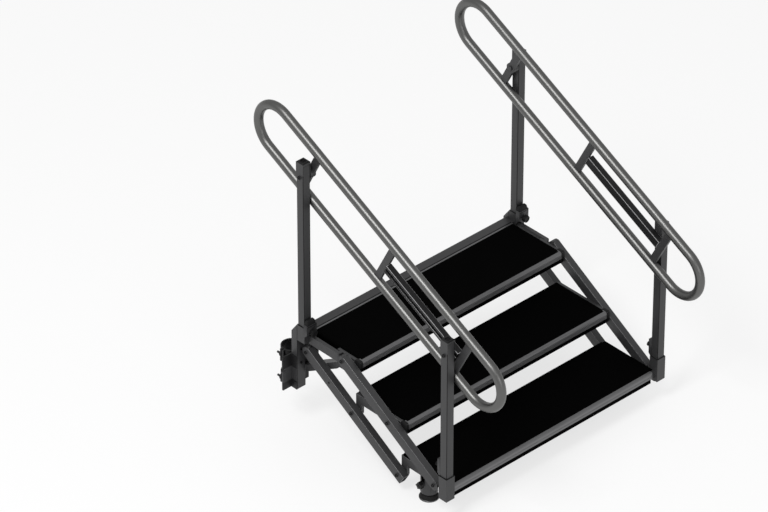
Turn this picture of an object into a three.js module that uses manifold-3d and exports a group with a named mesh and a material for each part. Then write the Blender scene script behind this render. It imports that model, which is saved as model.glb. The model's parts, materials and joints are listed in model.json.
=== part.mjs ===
// Height-adjustable stage stairs: three level treads hung on two pairs of parallel links,
// four plug-in posts, and two looped handrails that tilt with the flight.
// Millimetres. X runs across the flight, +Y up the flight towards the stage, +Z up.
// While the parts are built, y = 0 is the nose line of the top tread and z = 0 is the floor.

import * as THREE from "three";
import { mergeVertices } from "three/addons/utils/BufferGeometryUtils.js";
import Module from "manifold-3d";

const wasm = await Module();
wasm.setup();

// Flight
const treadCount = 3;
const rise = 138;
const going = 228;
const deg = Math.PI / 180;

// Clearances
const gap = 0.3;
const runGap = 0.5;
const overrun = 2;

// Treads
const treadWidth = 949;
const boardDepth = 231;
const boardThickness = 25;
const boardSkin = 6;
const boardWall = 5;
const boardRibs = 3;
const nosingDepth = 19;
const nosingHeight = 27;
const nosingRadius = 9;
const nosingGroove = 1.6;
const nosingGrooveShare = 0.62;
const fasciaHeight = 50;
const fasciaThickness = 4;
const fasciaSetback = 6;

// Side rails that carry the treads, and the hanging lugs for the lower links
const sideRailThickness = 12;
const sideRailHeight = 35;
const sideRailDrop = 2;
const sideRailChamfer = 10;
const lugWidth = 40;

// Link pivots: behind each tread's nose line or ahead of its back edge, and below its top
const upperPivotBack = 43;
const upperPivotDrop = 13;
const lowerPivotInset = 8;
const lowerPivotDrop = 69;

// Links
const linkHeight = 40;
const linkWidth = 26;
const linkWall = 3;
const linkGap = 3;
const boltRadius = 5;
const boltSides = 10;
const boltHeadRadius = 7.5;
const boltHeadHeight = 3;
const spareHoleRadius = 4.5;
const lowerLinkEnd = 26;

// Posts and their sleeves
const postSize = 32;
const postWall = 3;
const sleeveWall = 2.75;
const rearSleeveHeight = 65;
const rearSleeveAboveLink = 18;
const frontSleeveHeight = 94;
const frontSleeveBelowTread = 42;
const rearPostBehind = 9;
const frontPostAhead = 12;
const rearPivotAboveTread = 650;
const frontPivotAboveTread = 562;
const postHeadroom = 1.5;
const capHeight = 52;
const capProud = 1.5;
const capCrown = 12;
const capChamfer = 3;
const cheekChamfer = 8;
const capRecessRadius = 11;
const capRecessDepth = 5;
const postEndGap = 8;

// Handrails
const tubeRadius = 17;
const railHalfWidth = 95;
const railToPost = 2.5;
const rearOverhang = 188;
const frontOverhang = 143;
const bendSteps = 12;
const tubeSides = 14;
const crossbarWidth = 28;
const crossbarThickness = 12;
const middleCrossbarAt = 414;
const frontCrossbarAhead = 38;
const lugRadius = 19;
const channelHeight = 34;
const channelDepth = 24;
const channelLip = 4;
const channelWall = 4;
const channelSlot = 13;
const pinHeadRadius = 9;
const pinHeadHeight = 5;

// Rear columns, struts and the clamps for the stage legs; each drop is below the top tread
const columnDepth = 28;
const columnWall = 3;
const columnTopDrop = 4;
const gussetAhead = 12;
const gussetDrop = 124;
const strutHeight = 24;
const strutWidth = 40;
const strutFootDrop = 188;
const strutHeadDrop = 71;
const legRadius = 32.5;
const legGap = 1;
const clampHalfWidth = 60;
const legInset = 16;
const clampCheek = 3;
const clampWall = 5;
const clampPlate = 6;
const clampEar = 7;
const clampEarHalf = 46;
const clampSplit = 4;
const clampDrop = 242;
const lowerClampHeight = 31;
const clampSpacing = 58;
const upperClampHeight = 50;
const clampNotchDepth = 12;
const clampNotchHeight = 12;
const clampStudRadius = 4;
const clampStudInset = 6.5;
const clampNutRadius = 7;
const clampNutHeight = 6;
const clampTravel = 15;

// Handle beside the top tread
const handleThickness = 14;
const handleSlot = 16;
const handleCorner = 11;
const handlePlateBack = 96;
const handlePlateDrop = 74;

// Cross rail behind the top tread
const crossRailDepth = 40;
const crossRailHeight = 35;
const crossRailWall = 3;
const crossRailGap = 3;

// Latches on the sleeves
const rearLatch = { width: 46, depth: 17, rise: 18, pinAbove: -12, knobRadius: 12, knobLength: 16 };
const frontLatch = { width: 24, depth: 14, rise: 62, pinAbove: 31, knobRadius: 8, knobLength: 12 };
const frontLatchLap = 10;
const latchPinRadius = 4;
const knobFlange = 3;
const knobNeckShare = 0.6;

// Feet under the bottom tread; each drop is below the top of that tread
const footInset = 18;
const footBack = 125;
const socketWall = 6;
const socketAboveDisc = 8;
const footTubeRadius = 24.5;
const footTubeDrop = 45;
const footDiscRadius = 35;
const footDiscHeight = 20;
const footDiscEdge = 5;
const footRimHeight = 9;
const footTierRadius = 31;
const footNeckRadius = 27;
const footKnobDrop = 67;
const footKnobRadius = 14;
const footKnobStem = 4;
const footKnobLength = 16;
const footKnobLobes = 5;
const footKnobLobeRadius = 6;

// What follows from those sizes
const treadHalf = treadWidth / 2;
const railOuter = treadHalf + sideRailThickness;
const linkInner = railOuter + linkGap;
const linkOuter = linkInner + linkWidth;
const sleeveBore = postSize + 2 * runGap;
const sleeveSize = sleeveBore + 2 * sleeveWall;
const postX = railOuter + sleeveSize / 2;
const railX = postX - postSize / 2 - railToPost - tubeRadius;
const topZ = treadCount * rise;
const rearPostY = boardDepth + rearPostBehind;
const rearPivotHeight = topZ + rearPivotAboveTread;
const frontPivotHeight = rise + frontPivotAboveTread;
const clampBottom = topZ - clampDrop;
const frontPostY = -(treadCount - 1) * going - frontPostAhead;
const rearSleeveFace = rearPostY + sleeveSize / 2;
const columnBack = rearSleeveFace + columnDepth;
const pivotSpan = Math.hypot(rearPostY - frontPostY, rearPivotHeight - frontPivotHeight);
const railSlope = Math.atan2(rearPivotHeight - frontPivotHeight, rearPostY - frontPostY);
const linkStep = Math.hypot(rise, going);
const clampBore = legRadius + legGap;
const legY = columnBack + clampPlate + clampBore;
const legX = postX - legInset;

// A tread's place, and its two pivots
const treadY = (i) => -i * going;
const treadZ = (i) => topZ - i * rise;
const upperPivot = (i) => [treadY(i) + upperPivotBack, treadZ(i) - upperPivotDrop];
const lowerPivot = (i) => [treadY(i) + boardDepth - lowerPivotInset, treadZ(i) - lowerPivotDrop];
const rearSleeveBottom = lowerPivot(0)[1] + linkHeight / 2 + rearSleeveAboveLink;
const rearSleeveTop = rearSleeveBottom + rearSleeveHeight;
const frontSleeveBottom = treadZ(treadCount - 1) - frontSleeveBelowTread;
const frontSleeveTop = frontSleeveBottom + frontSleeveHeight;
const handleTop = topZ - sideRailDrop;

// The clamps on a stage leg, from the floor up
const clampLevels = [
  { name: "lower", bottom: clampBottom, height: lowerClampHeight },
  { name: "upper", bottom: clampBottom + lowerClampHeight + clampSpacing, height: upperClampHeight },
];

// A post's cap starts just above the head of the handrail bolt. The tube ends under its crown
const capBottom = (pivotHeight) => pivotHeight + boltHeadRadius + postHeadroom;
const postTubeTop = (pivotHeight) => capBottom(pivotHeight) + capHeight - capCrown;

// Finishes
const finish = (color, roughness, metalness) =>
  new THREE.MeshStandardMaterial({ color, roughness, metalness });
const materials = {
  deckBoard: () => finish(0x070707, 0.92, 0),
  nosing: () => finish(0x565758, 0.5, 0.6),
  steel: () => finish(0x3f4041, 0.55, 0.4),
  tube: () => finish(0x6e6d6a, 0.32, 0.9),
  casting: () => finish(0x1c1c1d, 0.6, 0.2),
  rubber: () => finish(0x101010, 0.85, 0),
};

// Solids: three.js shapes turned into manifold solids for cutting and joining
function solid(geometry) {
  const bare = geometry.clone();
  bare.deleteAttribute("normal");
  bare.deleteAttribute("uv");
  const merged = mergeVertices(bare, gap / 1000);
  return new wasm.Manifold(
    new wasm.Mesh({
      numProp: 3,
      vertProperties: new Float32Array(merged.attributes.position.array),
      triVerts: new Uint32Array(merged.index.array),
    }),
  );
}

function geometryOf(shape) {
  const mesh = shape.getMesh();
  const geometry = new THREE.BufferGeometry();
  geometry.setAttribute("position", new THREE.BufferAttribute(mesh.vertProperties, 3));
  geometry.setIndex(new THREE.BufferAttribute(mesh.triVerts, 1));
  const flat = geometry.toNonIndexed();
  flat.computeVertexNormals();
  return flat;
}

const join = (...shapes) => shapes.reduce((a, b) => a.add(b));
const cut = (shape, ...tools) => tools.reduce((a, b) => a.subtract(b), shape);

// A block between two corners; the corners may be given in any order
function block(x0, x1, y0, y1, z0, z1) {
  const size = [Math.abs(x1 - x0), Math.abs(y1 - y0), Math.abs(z1 - z0)];
  const geometry = new THREE.BoxGeometry(...size);
  return solid(geometry.translate((x0 + x1) / 2, (y0 + y1) / 2, (z0 + z1) / 2));
}

function shapeOf(points) {
  return new THREE.Shape(points.map(([a, b]) => new THREE.Vector2(a, b)));
}

// An outline in Y and Z, drawn out along X
function plateX(shape, x0, x1, steps = bendSteps / 2) {
  const low = Math.min(x0, x1);
  const geometry = new THREE.ExtrudeGeometry(shape, {
    depth: Math.abs(x1 - x0),
    bevelEnabled: false,
    curveSegments: steps,
  });
  const turn = new THREE.Matrix4().makeBasis(
    new THREE.Vector3(0, 1, 0),
    new THREE.Vector3(0, 0, 1),
    new THREE.Vector3(1, 0, 0),
  );
  return solid(geometry.applyMatrix4(turn).translate(low, 0, 0));
}

// An outline in X and Y, drawn up along Z
function plateZ(shape, z0, z1, steps = bendSteps) {
  const geometry = new THREE.ExtrudeGeometry(shape, {
    depth: z1 - z0,
    bevelEnabled: false,
    curveSegments: steps,
  });
  return solid(geometry.translate(0, 0, z0));
}

const roundSides = 16;

function rodX(radius, x0, x1, y, z, sides = roundSides) {
  const geometry = new THREE.CylinderGeometry(radius, radius, Math.abs(x1 - x0), sides);
  return solid(geometry.rotateZ(Math.PI / 2).translate((x0 + x1) / 2, y, z));
}

function rodY(radius, x, y0, y1, z, sides = roundSides) {
  const geometry = new THREE.CylinderGeometry(radius, radius, Math.abs(y1 - y0), sides);
  return solid(geometry.translate(x, (y0 + y1) / 2, z));
}

function rodZ(radius, x, y, z0, z1, sides = roundSides) {
  const geometry = new THREE.CylinderGeometry(radius, radius, z1 - z0, sides);
  return solid(geometry.rotateX(Math.PI / 2).translate(x, y, (z0 + z1) / 2));
}

// A bar between two pivots, as an outline in Y and Z. Its upper end is round; its lower end is
// round too, or cut square at a distance past the pivot
function barOutline([y0, z0], [y1, z1], half, squareEnd = 0) {
  const angle = Math.atan2(z1 - z0, y1 - y0);
  const [c, s] = [Math.cos(angle), Math.sin(angle)];
  const shape = new THREE.Shape();
  if (squareEnd > 0) {
    shape.moveTo(y0 - squareEnd * c - half * s, z0 - squareEnd * s + half * c);
    shape.lineTo(y0 - squareEnd * c + half * s, z0 - squareEnd * s - half * c);
  } else {
    shape.absarc(y0, z0, half, angle + Math.PI / 2, angle + (3 * Math.PI) / 2, false);
  }
  shape.absarc(y1, z1, half, angle - Math.PI / 2, angle + Math.PI / 2, false);
  shape.closePath();
  return shape;
}

// The part: a group of named meshes
const stairs = new THREE.Group();

function put(name, shape, material, parent = stairs) {
  const mesh = new THREE.Mesh(geometryOf(shape), materials[material]());
  mesh.name = name;
  parent.add(mesh);
}

const sides = [
  { name: "left", s: -1 },
  { name: "right", s: 1 },
];

// Tread boards: a thin tray, ribbed underneath, with a black anti-slip top. Its front wall turns
// forward under the nosing and hangs down as the fascia
function boardSolid(i) {
  const [y, z] = [treadY(i), treadZ(i)];
  const fasciaFront = y - nosingDepth + fasciaSetback;
  const webTop = z - nosingHeight - gap;
  const section = shapeOf([
    [y, z],
    [y, webTop],
    [fasciaFront, webTop],
    [fasciaFront, z - fasciaHeight],
    [fasciaFront + fasciaThickness, z - fasciaHeight],
    [fasciaFront + fasciaThickness, webTop - fasciaThickness],
    [y + boardWall, webTop - fasciaThickness],
    [y + boardWall, z - boardThickness],
    [y + boardDepth, z - boardThickness],
    [y + boardDepth, z],
  ]);
  let tray = plateX(section, -treadHalf, treadHalf);
  const bay = (treadWidth - 2 * boardWall - boardRibs * boardWall) / (boardRibs + 1);
  for (let k = 0; k <= boardRibs; k++) {
    const x0 = -treadHalf + boardWall + k * (bay + boardWall);
    const [y0, y1] = [y + boardWall, y + boardDepth - boardWall];
    tray = cut(tray, block(x0, x0 + bay, y0, y1, z - boardThickness - overrun, z - boardSkin));
  }
  return tray;
}

// The nosing: a rounded strip with a groove along its front
function nosingSolid(i) {
  const [y, z] = [treadY(i), treadZ(i)];
  const front = y - nosingDepth;
  const shape = new THREE.Shape();
  shape.moveTo(y, z);
  shape.lineTo(front + nosingRadius, z);
  shape.absarc(front + nosingRadius, z - nosingRadius, nosingRadius, Math.PI / 2, Math.PI, false);
  const grooveTop = z - nosingHeight * nosingGrooveShare;
  shape.lineTo(front, grooveTop);
  shape.lineTo(front + nosingGroove, grooveTop - nosingGroove / 2);
  shape.lineTo(front, grooveTop - nosingGroove);
  shape.lineTo(front, z - nosingHeight);
  shape.lineTo(y, z - nosingHeight);
  shape.closePath();
  return plateX(shape, -treadHalf, treadHalf);
}

// A side rail: a flat bar along the tread's end, chamfered at the front, bored for the links
function sideRailOutline(i, back, bottom) {
  const [y, z] = [treadY(i), treadZ(i)];
  const top = z - sideRailDrop;
  const low = top - sideRailHeight;
  const front = y - nosingDepth + gap;
  return shapeOf([
    [front, top],
    [front, low + sideRailChamfer],
    [front + sideRailChamfer, low],
    ...bottom(low),
    [back, low],
    [back, top],
  ].reverse());
}

const boreX = (x0, x1, [y, z]) => rodX(boltRadius + runGap, x0 - overrun, x1 + overrun, y, z);

function sideRailSolid(i, s) {
  const [x0, x1] = [s * treadHalf, s * railOuter];
  const back = treadY(i) + boardDepth;
  const bar = plateX(sideRailOutline(i, back, () => []), x0, x1);
  const low = lowerPivot(i);
  const barLow = treadZ(i) - sideRailDrop - sideRailHeight;
  const lug = join(
    rodX(lugWidth / 2, x0, x1, ...low),
    block(x0, x1, low[0] - lugWidth / 2, back, low[1], barLow + overrun),
  );
  const trim = block(x0, x1, back, back + lugWidth, 0, topZ);
  const [a, b] = [Math.min(x0, x1), Math.max(x0, x1)];
  return cut(join(bar, cut(lug, trim)), boreX(a, b, upperPivot(i)), boreX(a, b, low));
}

// The top tread's end plate and the staple-shaped handle outboard of it
function handleSolid(s) {
  const [x0, x1] = [s * treadHalf, s * railOuter];
  const barLow = handleTop - sideRailHeight;
  const plate = plateX(
    sideRailOutline(0, handlePlateBack, (low) => [
      [upperPivotBack - lugWidth / 2, low],
      [upperPivotBack, topZ - handlePlateDrop],
      [handlePlateBack, topZ - handlePlateDrop],
    ]),
    x0,
    x1,
  );
  const outer = treadHalf + handleSlot + handleThickness;
  const legFront = upperPivotBack + linkHeight / 2 + 2 * linkGap;
  const legBack = legFront + handleThickness;
  const bar = new THREE.Shape();
  bar.moveTo(s * railOuter, legFront);
  bar.lineTo(s * (outer - handleCorner), legFront);
  bar.quadraticCurveTo(s * outer, legFront, s * outer, legFront + handleCorner);
  bar.lineTo(s * outer, rearPostY - sleeveSize / 2);
  bar.lineTo(s * (outer - handleThickness), rearPostY - sleeveSize / 2);
  bar.lineTo(s * (outer - handleThickness), legBack);
  bar.lineTo(s * (railOuter - overrun), legBack);
  bar.lineTo(s * (railOuter - overrun), legFront);
  bar.closePath();
  const [a, b] = [Math.min(x0, x1), Math.max(x0, x1)];
  return cut(join(plate, plateZ(bar, barLow, handleTop, bendSteps / 4)), boreX(a, b, upperPivot(0)));
}

// A link: a rectangular tube, closed and round above and open at its lower end
function linkSolid(pivots, s, spare, squareEnd) {
  const [x0, x1] = [s * linkInner, s * linkOuter];
  const [first, last] = [pivots[0], pivots[pivots.length - 1]];
  let body = plateX(barOutline(last, first, linkHeight / 2, squareEnd), x0, x1);
  const ends = last.map((v, k) => v - (first[k] - v) * (linkHeight / linkStep));
  const hollow = plateX(
    barOutline(ends, pivots[0].map((v, k) => v + (pivots[1][k] - v) * (linkHeight / linkStep)),
      linkHeight / 2 - linkWall),
    x0 + s * linkWall,
    x1 - s * linkWall,
  );
  body = cut(body, hollow);
  for (const [y, z] of pivots) {
    const head = rodX(boltHeadRadius, x1 - s * linkWall, x1 + s * boltHeadHeight, y, z, boltSides);
    const shank = rodX(boltRadius, x1, s * (treadHalf + gap), y, z, boltSides);
    body = join(body, head, shank);
  }
  if (spare) body = cut(body, rodX(spareHoleRadius, x1 + s * overrun, x0 - s * overrun, ...spare));
  return body;
}

// A post: a square tube with a bolt for the handrail near its top
function postSolid(s, y, bottom, pivotZ, headAt) {
  const half = postSize / 2;
  const inner = half - postWall;
  const x = s * postX;
  const top = postTubeTop(pivotZ);
  const tube = cut(
    block(x - half, x + half, y - half, y + half, bottom, top),
    block(x - inner, x + inner, y - inner, y + inner, bottom - overrun, top + overrun),
  );
  return join(
    tube,
    rodX(boltRadius, x + s * half, s * headAt, y, pivotZ, boltSides),
    rodX(boltHeadRadius, x + s * (half - postWall), x + s * (half + boltHeadHeight), y, pivotZ,
      boltSides),
    rodX(pinHeadRadius, s * headAt, s * (headAt + pinHeadHeight), y, pivotZ, roundSides),
  );
}

// A post's cap: a square crown with a round recess, a spigot in the tube, and a cheek with cut
// corners down the outer and the inner face
function capSolid(s, y, pivotZ) {
  const half = postSize / 2 + capProud;
  const spigot = postSize / 2 - postWall - gap;
  const x = s * postX;
  const bottom = capBottom(pivotZ);
  const seat = postTubeTop(pivotZ) + gap;
  const top = bottom + capHeight;
  const crown = new THREE.CylinderGeometry(half - capChamfer, half, capChamfer, 4, 1);
  const diagonal = Math.SQRT2;
  crown.rotateY(Math.PI / 4).scale(diagonal, 1, diagonal).rotateX(Math.PI / 2);
  const cheek = shapeOf([
    [y - half + cheekChamfer, bottom],
    [y + half - cheekChamfer, bottom],
    [y + half, bottom + cheekChamfer / 2],
    [y + half, seat + gap],
    [y - half, seat + gap],
    [y - half, bottom + cheekChamfer / 2],
  ]);
  const inner = postSize / 2 + gap;
  return cut(
    join(
      block(x - half, x + half, y - half, y + half, seat, top - capChamfer),
      solid(crown.translate(x, y, top - capChamfer / 2)),
      block(x - spigot, x + spigot, y - spigot, y + spigot, seat - capCrown, seat + gap),
      plateX(cheek, x + inner, x + half),
      plateX(cheek, x - half, x - inner),
    ),
    rodZ(capRecessRadius, x, y, top - capRecessDepth, top + overrun),
  );
}

// A sleeve for a post, open above, with the latch housing on the face that looks along dir;
// the housing starts at low, with its lower edge bevelled, and stands above the sleeve's top
function sleeveSolid(s, y, bottom, top, latch, dir, low) {
  const half = sleeveSize / 2;
  const bore = sleeveBore / 2;
  const x = s * postX;
  const face = y + dir * half;
  const outer = face + dir * latch.depth;
  const section = [
    [face - dir * gap, low],
    [face + dir * gap, low],
    [outer, Math.min(low + latch.depth, top + latch.rise)],
    [outer, top + latch.rise],
    [face - dir * gap, top + latch.rise],
  ];
  const housing = plateX(
    shapeOf(dir > 0 ? section : section.reverse()),
    x - latch.width / 2,
    x + latch.width / 2,
  );
  return cut(
    join(block(x - half, x + half, y - half, y + half, bottom, top), housing),
    block(x - bore, x + bore, y - bore, y + bore, bottom + sleeveWall, top + latch.rise + overrun),
    rodY(latchPinRadius + runGap, x, y, outer + dir * overrun, top + latch.pinAbove),
    rodZ(capRecessRadius, x, y, bottom - overrun, bottom + 2 * sleeveWall, boltSides),
  );
}

// The latch knob: a pin through the housing that bears on the post, with a round pull
function latchSolid(s, y, top, latch, dir) {
  const x = s * postX;
  const face = y + dir * (sleeveSize / 2 + latch.depth);
  const tip = y + dir * (postSize / 2 + gap);
  const pinZ = top + latch.pinAbove;
  const flange = face + dir * (gap + knobFlange);
  return join(
    rodY(latchPinRadius, x, tip, flange + dir * overrun, pinZ, 12),
    rodY(latch.knobRadius * knobNeckShare, x, face + dir * gap, flange, pinZ),
    rodY(latch.knobRadius, x, flange, face + dir * latch.knobLength, pinZ),
  );
}

// The rear column: the upright behind the sleeve, with a slanted top, and the gusset that
// carries the lower link and the strut
function columnSolid(s) {
  const [x0, x1] = [s * railOuter, s * (railOuter + sleeveSize)];
  const [y0, y1] = [rearSleeveFace, columnBack];
  const back = topZ - columnTopDrop;
  const gussetBottom = topZ - gussetDrop;
  const upright = (inset, low) => shapeOf([
    [y0 + inset, low],
    [y1 - inset, low],
    [y1 - inset, back - 2 * inset],
    [y0 + inset, rearSleeveTop - 2 * inset],
  ]);
  const shell = cut(
    plateX(upright(0, clampBottom), x0, x1),
    plateX(upright(columnWall, clampBottom - overrun), x0 + s * columnWall, x1 - s * columnWall),
  );
  const [py, pz] = lowerPivot(0);
  const gusset = shapeOf([
    [py - lugWidth / 2, pz + lugWidth / 2 - gussetAhead],
    [py - lugWidth / 2, pz - lugWidth / 2],
    [y0, gussetBottom],
    [y1, gussetBottom],
    [y1, pz + lugWidth / 2],
    [py - lugWidth / 2 + gussetAhead, pz + lugWidth / 2],
  ]);
  const plate = plateX(gusset, s * treadHalf, s * (railOuter + gap));
  const trim = block(x0, x0 + s * overrun, py - lugWidth, y0, gussetBottom, topZ);
  const [a, b] = [Math.min(s * treadHalf, x0), Math.max(s * treadHalf, x0)];
  return cut(join(shell, cut(plate, trim)), boreX(a, b, [py, pz]));
}

// The strut from the column up to the front of the top tread
function strutSolid(s) {
  const [y0, z0] = [columnBack, topZ - strutFootDrop];
  const [y1, z1] = [handlePlateBack, topZ - strutHeadDrop];
  const half = strutHeight / 2 / Math.cos(Math.atan2(z1 - z0, y0 - y1));
  const outline = shapeOf([
    [y1, z1 - half],
    [y0, z0 - half],
    [y0, z0 + half],
    [y1, z1 + half],
  ]);
  return plateX(outline, s * (railOuter - strutWidth), s * railOuter);
}

// One half of a leg clamp, seen from above: a half ring with two ears
function clampHalf(x, front, dir, level) {
  const top = level.bottom + level.height;
  const ring = new THREE.Shape();
  const outer = clampBore + clampWall;
  ring.absarc(x, legY, outer, 0, 2 * Math.PI, false);
  const split = legY + dir * (clampSplit / 2);
  const half = cut(
    join(
      plateZ(ring, level.bottom, top),
      block(x - clampEarHalf, x + clampEarHalf, split, split + dir * clampEar,
        level.bottom, top),
    ),
    rodZ(clampBore, x, legY, level.bottom - overrun, top + overrun, 2 * roundSides),
    block(x - 2 * outer, x + 2 * outer, split, split - dir * 2 * outer,
      level.bottom - overrun, top + overrun),
  );
  return front === null ? half : cut(half, block(x - outer, x + outer, front - outer, front,
    level.bottom - overrun, top + overrun));
}

const studPlaces = (x) => [-1, 1].map((k) => x + k * (clampEarHalf - clampStudInset));
const levelMiddle = (level) => level.bottom + level.height / 2;

// The front half of both clamps, on one plate across the back of the column
function saddleSolid(s) {
  const x = s * postX;
  const low = clampLevels[0].bottom;
  const high = clampLevels[1].bottom + clampLevels[1].height;
  const wide = block(x - clampHalfWidth, x + clampHalfWidth,
    columnBack, columnBack + clampPlate, low, high);
  const notchTop = clampLevels[1].bottom;
  const edge = x + s * clampHalfWidth;
  const notch = block(edge - s * clampNotchDepth, edge + s * overrun, columnBack - overrun,
    columnBack + clampPlate + overrun, notchTop - clampNotchHeight, notchTop);
  const leg = s * legX;
  const outer = railOuter + sleeveSize;
  const bore = rodZ(clampBore, leg, legY, low - overrun, high + overrun, 2 * roundSides);
  let saddle = cut(wide, bore, notch);
  for (const level of clampLevels) {
    const cheek = block(s * outer, s * (outer + clampCheek), rearSleeveFace,
      columnBack + clampPlate, level.bottom, level.bottom + level.height);
    saddle = join(saddle, cheek, clampHalf(leg, columnBack, -1, level));
    for (const sx of studPlaces(leg)) {
      const [y0, y1] = [columnBack + clampPlate / 2, legY + clampEar + clampNutHeight + clampTravel];
      saddle = join(saddle, rodY(clampStudRadius, sx, y0, y1, levelMiddle(level)));
    }
  }
  return saddle;
}

// The rear half of one clamp, with its two nuts; it draws off along the studs
function clampJawSolid(s, level) {
  const x = s * legX;
  let jaw = clampHalf(x, null, 1, level);
  const ear = legY + clampSplit / 2 + clampEar;
  for (const sx of studPlaces(x)) {
    const z = levelMiddle(level);
    jaw = join(jaw, rodY(clampNutRadius, sx, ear - gap, ear + clampNutHeight, z, 6));
    jaw = cut(jaw, rodY(clampStudRadius + runGap, sx, legY, ear + clampNutHeight + overrun, z));
  }
  return jaw;
}

// The handrail, built level along -Y from its rear pivot, then tilted as one group
function railLoop() {
  const loop = new THREE.TorusGeometry(railHalfWidth, tubeRadius, tubeSides, 2 * bendSteps + 2);
  const rings = 2 * bendSteps + 2;
  const place = loop.attributes.position;
  const ends = [rearOverhang, -(pivotSpan + frontOverhang)];
  for (let j = 0; j <= tubeSides; j++) {
    for (let k = 0; k <= rings; k++) {
      const ring = k % rings;
      const rear = ring <= bendSteps;
      const u = (rear ? ring : ring - 1) * (Math.PI / bendSteps) - Math.PI / 2;
      const v = (j / tubeSides) * 2 * Math.PI;
      const reach = railHalfWidth + tubeRadius * Math.cos(v);
      const y = (rear ? ends[0] : ends[1]) + reach * Math.cos(u);
      place.setXYZ(j * (rings + 1) + k, tubeRadius * Math.sin(v), y, reach * Math.sin(u));
    }
  }
  return loop;
}

const railTubes = (grow) => [-1, 1].map((k) => {
  const length = pivotSpan + rearOverhang + frontOverhang;
  const y0 = rearOverhang;
  return rodY(tubeRadius + grow, 0, y0, y0 - length, k * railHalfWidth, 2 * tubeSides);
});

function crossbarBody(y) {
  return cut(
    block(-crossbarThickness / 2, crossbarThickness / 2, y - crossbarWidth / 2,
      y + crossbarWidth / 2, -railHalfWidth, railHalfWidth),
    ...railTubes(gap),
  );
}

function slideChannel(s, from, to) {
  const outer = s * (tubeRadius - gap);
  const inner = outer - s * channelDepth;
  const half = channelHeight / 2;
  return cut(
    block(inner, outer, from, to, -half, half),
    block(inner + s * channelWall, outer - s * channelLip, from + overrun, to - overrun,
      -half + channelWall, half - channelWall),
    block(inner + s * channelWall, outer + s * overrun, from + overrun, to - overrun,
      -channelSlot / 2, channelSlot / 2),
  );
}

function addHandrail(name, s) {
  const tilt = new THREE.Group();
  tilt.position.set(s * railX, rearPostY, rearPivotHeight);
  tilt.rotation.x = railSlope;
  stairs.add(tilt);
  const tube = new THREE.Mesh(railLoop(), materials.tube());
  tube.name = `${name}_handrail_tube`;
  tilt.add(tube);
  const hub = cut(
    join(crossbarBody(0), rodX(lugRadius, -s * crossbarThickness / 2, s * tubeRadius, 0, 0, 24)),
    rodX(boltRadius + runGap, -tubeRadius, tubeRadius + overrun, 0, 0),
  );
  put(`${name}_rear_crossbar`, hub, "steel", tilt);
  put(`${name}_middle_crossbar`, crossbarBody(-middleCrossbarAt), "steel", tilt);
  const frontBar = pivotSpan + frontCrossbarAhead;
  put(`${name}_front_crossbar`, crossbarBody(-frontBar), "steel", tilt);
  const from = -middleCrossbarAt - crossbarWidth / 2 - gap;
  const to = -frontBar + crossbarWidth / 2 + gap;
  put(`${name}_slide_channel`, slideChannel(s, from, to), "casting", tilt);
}

// Levelling feet
const footX = treadHalf - footInset;
const footY = treadY(treadCount - 1) + footBack;
const socketRadius = footTubeRadius + runGap + socketWall;
const footKnobHeight = rise - footKnobDrop;

function socketSolid(s) {
  const top = treadZ(treadCount - 1) - boardSkin;
  const bottom = footDiscHeight + socketAboveDisc;
  const bossEnd = footX + socketRadius + footKnobStem;
  const railLow = rise - sideRailDrop - sideRailHeight;
  return cut(
    join(
      rodZ(socketRadius, s * footX, footY, bottom, top + gap, 20),
      rodX(2 * footKnobStem, s * footX, s * bossEnd, footY, footKnobHeight),
    ),
    block(s * treadHalf, s * (treadHalf + socketRadius), footY - 2 * socketRadius,
      footY + 2 * socketRadius, railLow - gap, rise),
    rodZ(footTubeRadius + runGap, s * footX, footY, bottom - overrun, top, 20),
    rodX(footKnobStem + runGap, s * footX, s * (bossEnd + overrun), footY, footKnobHeight),
  );
}

function footDiscSolid(s) {
  const profile = [
    [0, 0],
    [footDiscRadius - footDiscEdge / 2, 0],
    [footDiscRadius, footDiscEdge / 2],
    [footDiscRadius, footDiscEdge],
    [footTierRadius, footRimHeight],
    [footTierRadius, footDiscHeight - footDiscEdge],
    [footNeckRadius, footDiscHeight],
    [0, footDiscHeight],
  ].map(([r, h]) => new THREE.Vector2(r, h));
  const lathe = new THREE.LatheGeometry(profile, 2 * bendSteps);
  return solid(lathe.rotateX(Math.PI / 2).translate(s * footX, footY, 0));
}

function footKnobSolid(s) {
  const tip = s * (footX + footTubeRadius + gap);
  const start = footX + socketRadius + footKnobStem + gap;
  const [x0, x1] = [s * start, s * (start + footKnobLength)];
  let knob = join(
    rodX(footKnobStem, tip, x1, footY, footKnobHeight, 12),
    rodX(footKnobRadius - footKnobLobeRadius / 2, x0, x1, footY, footKnobHeight, 20),
  );
  for (let k = 0; k < footKnobLobes; k++) {
    const turn = (k / footKnobLobes) * 2 * Math.PI;
    const reach = footKnobRadius - footKnobLobeRadius / 2;
    const [y, z] = [footY + reach * Math.cos(turn), footKnobHeight + reach * Math.sin(turn)];
    knob = join(knob, rodX(footKnobLobeRadius / 2, x0, x1, y, z, 10));
  }
  return knob;
}

// Assembly
const treadNames = ["top", "middle", "bottom"];

treadNames.forEach((name, i) => {
  const board = i === treadCount - 1
    ? join(boardSolid(i), socketSolid(-1), socketSolid(1))
    : boardSolid(i);
  put(`${name}_tread_board`, board, "deckBoard");
  put(`${name}_tread_nosing`, nosingSolid(i), "nosing");
});

const crossY = boardDepth + crossRailGap;
put(
  "rear_cross_rail",
  cut(
    block(-railOuter, railOuter, crossY, crossY + crossRailDepth, topZ - crossRailHeight, topZ),
    block(-railOuter - overrun, railOuter + overrun, crossY + crossRailWall,
      crossY + crossRailDepth - crossRailWall, topZ - crossRailHeight + crossRailWall,
      topZ - crossRailWall),
  ),
  "steel",
);

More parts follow.
